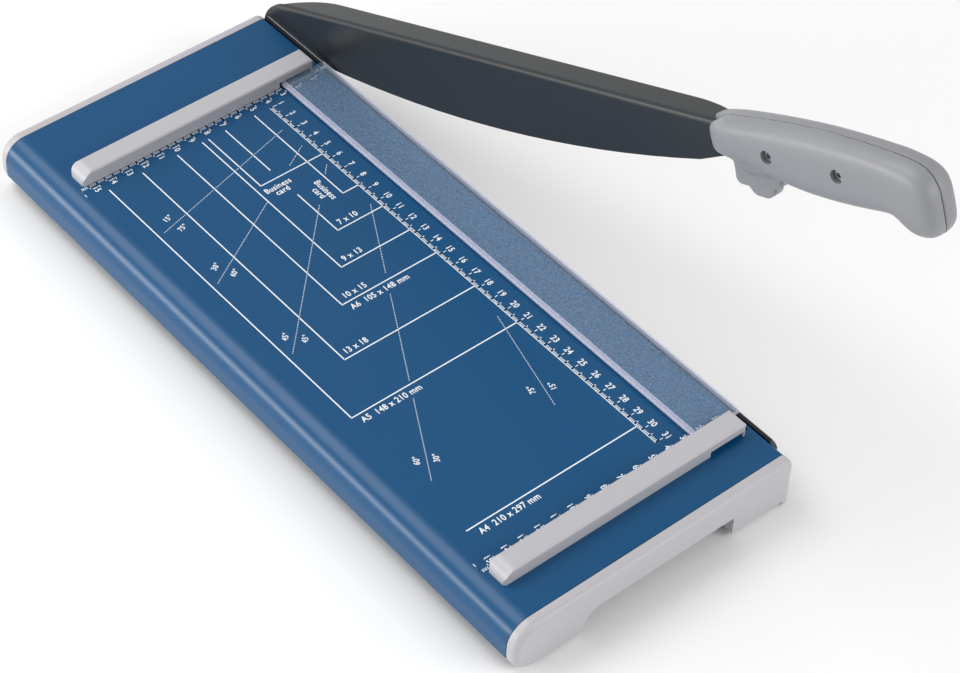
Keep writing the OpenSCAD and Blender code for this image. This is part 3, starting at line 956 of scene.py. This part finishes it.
@dataclass
class Handle:
    """Two moulded shells screwed together round the blade's tang."""

    datum: Datum
    pivot: Vector
    rest_degrees: float
    parting_mm: float = 2.4
    seam_mm: float = 0.16
    left_mm: float = 10.1
    right_mm: float = 11.1
    full_height_mm: float = 29.0
    corner_mm: float = 7.5
    voxel_mm: float = 0.55
    lug_inner_mm: float = 0.65
    lug_outer_mm: float = 7.6
    lug_top_mm: float = 14.0
    # Each lobe of the lug: front, back, bottom and corner radius
    lug_steps: tuple[tuple[float, float, float, float], ...] = (
        (354.9, 367.0, -2.1, 3.6),
        (362.7, 379.2, -5.9, 6.0),
        (372.0, 384.2, -0.3, 4.5),
    )
    web_along: tuple[float, float] = (363.0, 381.0)
    # Sideways and upward middle of the web, and its size in the same directions
    web_middle: tuple[float, float] = (-1.6, 10.2)
    web_size: tuple[float, float] = (7.6, 9.8)
    web_slope_mm: float = 5.9
    web_low_mm: float = 6.0
    screw_along: tuple[float, float] = (389.0, 432.0)
    screw_up: float = 21.6
    recess_r: float = 3.35
    recess_floor_mm: float = 5.6
    recess_fillet_mm: float = 0.5
    plug_mm: float = 20.0
    # Front, back and top of the stretch that is melted, and its fading distances
    melt_from: float = 354.0
    melt_to: float = 386.0
    melt_top: float = 15.0
    melt_fade: float = 3.0
    melt_side_fade: float = 2.0
    melt_low: float = 1.0
    melt_rise: float = 4.0
    ease_rounds: int = 3
    melt_rounds: int = 30

    def _put_in_place(self, piece: bpy.types.Object) -> bpy.types.Object:
        """Turns a shell from the arm's own axes into the frame.

        Args:
            piece: shell, drawn along the arm with the pivot at the origin.

        Returns:
            The same shell, settled in place.
        """
        spot = Vector((self.datum.edge_x, self.pivot.y, self.pivot.z))
        turn = Matrix.Rotation(math.radians(-self.rest_degrees), 4, "X")
        piece.matrix_world = Matrix.Translation(spot) @ turn
        return settle(piece)

    def _bar(self, side: Side) -> bpy.types.Object:
        """Extrudes the bar of one shell from its nose to its butt.

        Args:
            side: which shell.

        Returns:
            The bar, along the arm's own axes.
        """
        stations = (LEFT_NOSE if side is Side.LEFT else RIGHT_NOSE) + GRIP
        first = stations[0]
        width = self.left_mm if side is Side.LEFT else self.right_mm
        seam = self.parting_mm + side.value * self.seam_mm
        width -= self.seam_mm
        deselect()
        bpy.ops.mesh.primitive_plane_add(size=1, rotation=(math.pi / 2, 0, 0))
        piece = bpy.context.object
        piece.scale = (width * MM, self.full_height_mm * MM, 1)
        piece.location = (side.value * width / 2 * MM, 0, self.full_height_mm / 2 * MM)
        settle(piece)
        self._round_corners(piece, side)
        piece.scale = (first.out, 1, (first.top - first.low) / self.full_height_mm)
        piece.location = (seam * MM, -first.along * MM, first.low * MM)
        settle(piece)
        last = first
        mesh = edit(piece)
        for face in mesh.faces:
            face.select = True
        keep_picks(piece, mesh)
        for station in stations[1:]:
            bpy.ops.mesh.extrude_region_move(
                TRANSFORM_OT_translate={
                    "value": (0, -(station.along - last.along) * MM, 0)
                }
            )
            pivot = (seam * MM, -station.along * MM, last.low * MM)
            tall = (station.top - station.low) / (last.top - last.low)
            bpy.ops.transform.resize(
                value=(station.out / last.out, 1, tall), center_override=pivot
            )
            bpy.ops.transform.translate(value=(0, 0, (station.low - last.low) * MM))
            last = station
        leave()
        self._close(piece)
        self._crease_parting(piece, seam)
        soft = piece.modifiers.new("soft", "SUBSURF")
        soft.levels = soft.render_levels = 3
        finish_modifiers(piece)
        return piece

    def _round_corners(self, piece: bpy.types.Object, side: Side) -> None:
        """Rounds the two outer corners of the full section, which starts at the parting plane.

        Args:
            piece: the flat section.
            side: which shell.
        """
        mesh = edit(piece)
        for vert in mesh.verts:
            vert.select = vert.co.x * side.value > 1 * MM
        keep_picks(piece, mesh)
        bpy.ops.mesh.bevel(offset=self.corner_mm * MM, segments=3, affect="VERTICES")
        leave()

    def _close(self, piece: bpy.types.Object) -> None:
        """Makes every face point outwards, with the nose closed.

        Args:
            piece: the extruded bar.
        """
        mesh = edit(piece, "EDGE")
        for edge in mesh.edges:
            edge.select = edge.is_boundary
        keep_picks(piece, mesh)
        if any(edge.select for edge in mesh.edges):
            bpy.ops.mesh.edge_face_add()
        bpy.ops.mesh.select_all(action="SELECT")
        bpy.ops.mesh.normals_make_consistent(inside=False)
        leave()

    def _crease_parting(self, piece: bpy.types.Object, seam: float) -> None:
        """Keeps the edges of the parting plane sharp.

        Args:
            piece: the extruded bar.
            seam: the shell's flat side, in millimetres right of the cut.
        """
        mesh = edit(piece, "EDGE")
        for edge in mesh.edges:
            edge.select = all(abs(v.co.x / MM - seam) < TOUCH_MM for v in edge.verts)
        keep_picks(piece, mesh)
        bpy.ops.transform.edge_crease(value=1.0)
        leave()

    def _lug(self, side: Side) -> list[bpy.types.Object]:
        """Shapes this shell's half of the stepped finger lug.

        Args:
            side: which shell.

        Returns:
            The lobes, and the web on the left side.
        """
        seam = self.parting_mm + side.value * self.seam_mm
        outer = self.lug_inner_mm if side is Side.LEFT else self.lug_outer_mm
        x0, x1 = sorted((seam, outer))
        steps = []
        for begin, end, low, radius in self.lug_steps:
            deselect()
            bpy.ops.mesh.primitive_cube_add(
                size=1,
                location=(
                    (x0 + x1) / 2 * MM,
                    -(begin + end) / 2 * MM,
                    (low + self.lug_top_mm) / 2 * MM,
                ),
            )
            block = bpy.context.object
            block.scale = ((x1 - x0) * MM, (end - begin) * MM, (self.lug_top_mm - low) * MM)
            settle(block)
            mesh = edit(block, "EDGE")
            for edge in mesh.edges:
                edge.select = all(v.co.z / MM < low + 0.1 for v in edge.verts) and (
                    abs(edge.verts[0].co.y - edge.verts[1].co.y) < 1e-6
                )
            keep_picks(block, mesh)
            bpy.ops.mesh.bevel(offset=radius * MM, segments=8)
            leave()
            steps.append(block)
        if side is Side.LEFT:
            steps.append(self._web(x0))
        return steps

    def _web(self, inner: float) -> bpy.types.Object:
        """Shapes the slope that runs from the left side down into the lug.

        Args:
            inner: the lug's left side, in millimetres right of the cut.

        Returns:
            The web.
        """
        begin, end = self.web_along
        deselect()
        bpy.ops.mesh.primitive_cube_add(
            size=1,
            location=(self.web_middle[0] * MM, -(begin + end) / 2 * MM, self.web_middle[1] * MM),
        )
        web = bpy.context.object
        web.scale = (self.web_size[0] * MM, (end - begin) * MM, self.web_size[1] * MM)
        settle(web)
        mesh = edit(web, "EDGE")
        for edge in mesh.edges:
            edge.select = all(
                v.co.z < self.web_low_mm * MM and v.co.x < inner * MM for v in edge.verts
            )
        keep_picks(web, mesh)
        bpy.ops.mesh.bevel(offset=self.web_slope_mm * MM, segments=1)
        leave()
        return web

    def _recesses(self) -> list[bpy.types.Object]:
        """Makes the plugs that sink the screw recesses into the left shell.

        Returns:
            One plug for each screw.
        """
        floor = self.parting_mm - self.recess_floor_mm
        plugs = []
        for along in self.screw_along:
            deselect()
            bpy.ops.mesh.primitive_cylinder_add(
                vertices=48,
                radius=self.recess_r * MM,
                depth=self.plug_mm * MM,
                location=((floor - self.plug_mm / 2) * MM, -along * MM, self.screw_up * MM),
                rotation=(0, math.pi / 2, 0),
            )
            plug = settle(bpy.context.object)
            mesh = edit(plug)
            for edge in mesh.edges:
                edge.select = all(abs(v.co.x / MM - floor) < TOUCH_MM for v in edge.verts)
            keep_picks(plug, mesh)
            bpy.ops.mesh.bevel(offset=self.recess_fillet_mm * MM, segments=3)
            leave()
            plugs.append(plug)
        return plugs

    def _blend(
        self,
        body: bpy.types.Object,
        extra: list[bpy.types.Object],
        cuts: list[bpy.types.Object],
    ) -> None:
        """Melts the lug into the bar and cuts the recesses, with soft fillets.

        Args:
            body: the bar.
            extra: pieces that become one skin with it.
            cuts: plugs that are cut out and removed.
        """
        joined = join([body, *extra], body.name)
        remesh = joined.modifiers.new("one_skin", "REMESH")
        remesh.mode = "VOXEL"
        remesh.voxel_size = self.voxel_mm * MM
        ease = joined.modifiers.new("ease", "SMOOTH")
        ease.factor = 0.5
        ease.iterations = self.ease_rounds
        finish_modifiers(joined)
        self._melt_lug(joined)
        for cut in cuts:
            hole = joined.modifiers.new("recess", "BOOLEAN")
            hole.operation = "DIFFERENCE"
            hole.solver = "EXACT"
            hole.object = cut
            finish_modifiers(joined)
            bpy.data.objects.remove(cut)

    def _melt_lug(self, shell: bpy.types.Object) -> None:
        """Eases only the valley between the lug and the bar.

        Args:
            shell: shell in one skin, along the arm's own axes.
        """
        group = shell.vertex_groups.new(name="valley")
        for vert in shell.data.vertices:
            along, up = -vert.co.y / MM, vert.co.z / MM
            off = max(self.melt_from - along, along - self.melt_to, up - self.melt_top, 0.0)
            out = self.parting_mm - vert.co.x / MM
            side = min(1.0, out / self.melt_side_fade) if out > 0 else 1.0
            rise = min(1.0, max(0.0, (up - self.melt_low) / self.melt_rise))
            weight = max(0.0, 1.0 - off / self.melt_fade) * side * rise
            group.add([vert.index], weight, "REPLACE")
        melt = shell.modifiers.new("melt", "SMOOTH")
        melt.factor = 0.5
        melt.iterations = self.melt_rounds
        melt.vertex_group = group.name
        finish_modifiers(shell)
        shell.vertex_groups.clear()

    def build(self, material: bpy.types.Material) -> list[bpy.types.Object]:
        """Builds both shells in place of their CAD solids.

        Args:
            material: finish of the mouldings.

        Returns:
            The left and the right shell.
        """
        shells = []
        for side, node in ((Side.LEFT, "handle_left_shell"), (Side.RIGHT, "handle_right_shell")):
            bar = self._bar(side)
            bar.name = node.replace("handle", "grip")
            cuts = self._recesses() if side is Side.LEFT else []
            self._blend(bar, self._lug(side), cuts)
            self._put_in_place(bar)
            smooth(bar, 40)
            bar.data.materials.clear()
            bar.data.materials.append(material)
            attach(bar, ARM)
            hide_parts(node)
            shells.append(bar)
        return shells


# ------------------------------------------------------------------ CAD pieces


@dataclass
class Dresser:
    """Gives every CAD node that stays its finish."""

    nodes: dict[str, bpy.types.Object]
    made: dict[Stock, bpy.types.Material] = field(default_factory=dict)

    def finish(self, stock: Stock) -> bpy.types.Material:
        """Makes a stock finish once and hands it out again after that.

        Args:
            stock: the finish.

        Returns:
            Its material.
        """
        if stock not in self.made:
            self.made[stock] = stock.value.dress()
        return self.made[stock]

    def dress(self, datum: Datum) -> None:
        """Dresses the nodes.

        Args:
            datum: planes that the special finishes are set out from.
        """
        plan = {
            Stock.POWDER_COAT: ("table_plate",),
            Stock.MOULDED_ABS: ("front_cap", "rear_cap", "rear_fence", "front_fence"),
            Stock.HANDLE_NYLON: ("handle_left_shell", "handle_right_shell"),
            Stock.BLACK_ACETAL: ("guard_bushes",),
            Stock.NITRILE_RUBBER: ("rubber_feet",),
            Stock.COATED_STEEL: ("upper_blade",),
            Stock.ZINC_PLATE: (
                "cap_clinch_nuts", "cap_screws", "fence_screws", "blade_screws", "blade_nuts",
                "pivot_bracket", "pivot_bolt", "pivot_washer", "pivot_nut", "guard_pins",
                "handle_screws",
            ),
            Stock.SPRING_STEEL: ("disc_spring", "guard_clips", "guard_springs"),
            Stock.BEARING_BRASS: ("pivot_bush",),
        }
        for stock, names in plan.items():
            for name in names:
                recoat(self.nodes[name], self.finish(stock))
        # Hardened blade steel, oxidised dark, with its cutting edge ground bright
        blade = GroundEdge(
            "ground_blade_steel", "#1b1d20", "#222428", 12, 0.4, 0.05, Grain(0.6, 0.006),
            metallic=0.3, edge_x=datum.edge_x, edge_z=datum.top_z,
        )
        recoat(self.nodes["lower_blade"], blade.dress())
        low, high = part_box("press_guard")
        # Cast acrylic, frosted by sanding: milky and speckled. Its clear lips carry a pale painted
        # highlight.
        sheet = FrostedSheet(
            "frosted_acrylic", "#a3bcd6", "#adc4dc", 90, 0.42, 0.04, Grain(0.9, 0.03),
            left_x=low.x, right_x=high.x,
        )
        recoat(self.nodes["press_guard"], sheet.dress())


# ------------------------------------------------------------------ studio


@dataclass(frozen=True)
class SoftBox:
    """A soft lamp: its name, place and size in metres, and power in watts."""

    name: str
    place: tuple[float, float, float]
    size: tuple[float, float]
    watts: float


SOFT_BOXES = (
    SoftBox("left_soft_box", (-1.9, 1.2, 0.5), (1.8, 0.6), 28),
    SoftBox("front_soft_box", (0.8, -2.0, 1.3), (1.4, 1.2), 22),
    SoftBox("top_soft_box", (-0.5, 1.2, 2.0), (1.6, 1.6), 24),
)


@dataclass
class Studio:
    """Pale floor, soft light and the camera."""

    target_mm: tuple[float, float, float] = (-41.4, 20.6, 30.0)
    distance_mm: float = 1388.5
    azimuth: float = -37.97
    elevation: float = 45.88
    lens: float = 106.72
    shift: tuple[float, float] = (0.1558, -0.0067)
    sensor_mm: float = 36
    clip: tuple[float, float] = (0.05, 50)
    floor_m: float = 12
    floor_drop_m: float = 0.0001
    sky_strength: float = 0.5
    aim: tuple[float, float, float] = (0, 0, 0.03)

    def _floor(self) -> None:
        """Lays a wide pale floor under the feet."""
        deselect()
        bpy.ops.mesh.primitive_grid_add(
            x_subdivisions=2, y_subdivisions=2, size=self.floor_m, location=(0, 0, -self.floor_drop_m)
        )
        floor = bpy.context.object
        floor.name = "floor"
        pale = Finish("pale_floor", "#fafafa", "#fbfbfb", 400, 0.7, 0.02, Grain(4, 0.0))
        floor.data.materials.append(pale.dress())

    def _light(self, box: SoftBox) -> None:
        """Hangs one soft box that faces the trimmer.

        Args:
            box: the lamp to hang.
        """
        data = bpy.data.lights.new(box.name, "AREA")
        data.shape = "RECTANGLE"
        data.size, data.size_y = box.size
        data.energy = box.watts
        lamp = bpy.data.objects.new(box.name, data)
        bpy.context.scene.collection.objects.link(lamp)
        lamp.location = box.place
        aim = Vector(self.aim) - Vector(box.place)
        lamp.rotation_euler = aim.to_track_quat("-Z", "Y").to_euler()

    def _camera(self) -> None:
        """Sets up the camera from its target, distance and angles."""
        a, e = math.radians(self.azimuth), math.radians(self.elevation)
        back = Vector((math.sin(a) * math.cos(e), -math.cos(a) * math.cos(e), math.sin(e)))
        data = bpy.data.cameras.new("camera")
        data.lens = self.lens
        data.sensor_width = self.sensor_mm
        data.shift_x, data.shift_y = self.shift
        data.clip_start, data.clip_end = self.clip
        camera = bpy.data.objects.new("camera", data)
        bpy.context.scene.collection.objects.link(camera)
        camera.location = Vector(self.target_mm) * MM + back * self.distance_mm * MM
        camera.rotation_mode = "QUATERNION"
        camera.rotation_quaternion = (-back).to_track_quat("-Z", "Y")
        bpy.context.scene.camera = camera

    def build(self) -> None:
        """Builds the floor, the lights, the world and the camera."""
        self._floor()
        for box in SOFT_BOXES:
            self._light(box)
        world = bpy.data.worlds.new("studio")
        world.use_nodes = True
        world.node_tree.nodes.clear()
        sky = add_node(
            world.node_tree,
            "ShaderNodeBackground",
            {"Color": linear("#ffffff"), "Strength": self.sky_strength},
        )
        add_node(world.node_tree, "ShaderNodeOutputWorld", links={"Surface": sky.outputs[0]})
        bpy.context.scene.world = world
        bpy.context.scene.view_settings.view_transform = "Standard"
        self._camera()


def main() -> None:
    """Builds the trimmer's looks round the frame."""
    logging.basicConfig(level=logging.INFO, format="%(message)s")
    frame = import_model()
    Studio().build()
    datum = Datum.from_frame()
    dresser = Dresser(frame["nodes"])
    dresser.dress(datum)
    LOG.info("dressed %d CAD nodes", len(frame["nodes"]))
    hinge = next(j for j in frame["joints"] if j["name"] == "arm_hinge")
    handle = Handle(datum, Vector(hinge["pos_m"]), rest_degrees=REST_DEGREES)
    for shell in handle.build(dresser.finish(Stock.HANDLE_NYLON)):
        LOG.info("handle: %s, %d faces", shell.name, len(shell.data.polygons))
    scales = PrintedScales(datum).build(dresser.finish(Stock.SCREEN_INK))
    LOG.info("print: %s, %d faces", scales.name, len(scales.data.polygons))
    deselect()


if __name__ == "__main__":
    main()
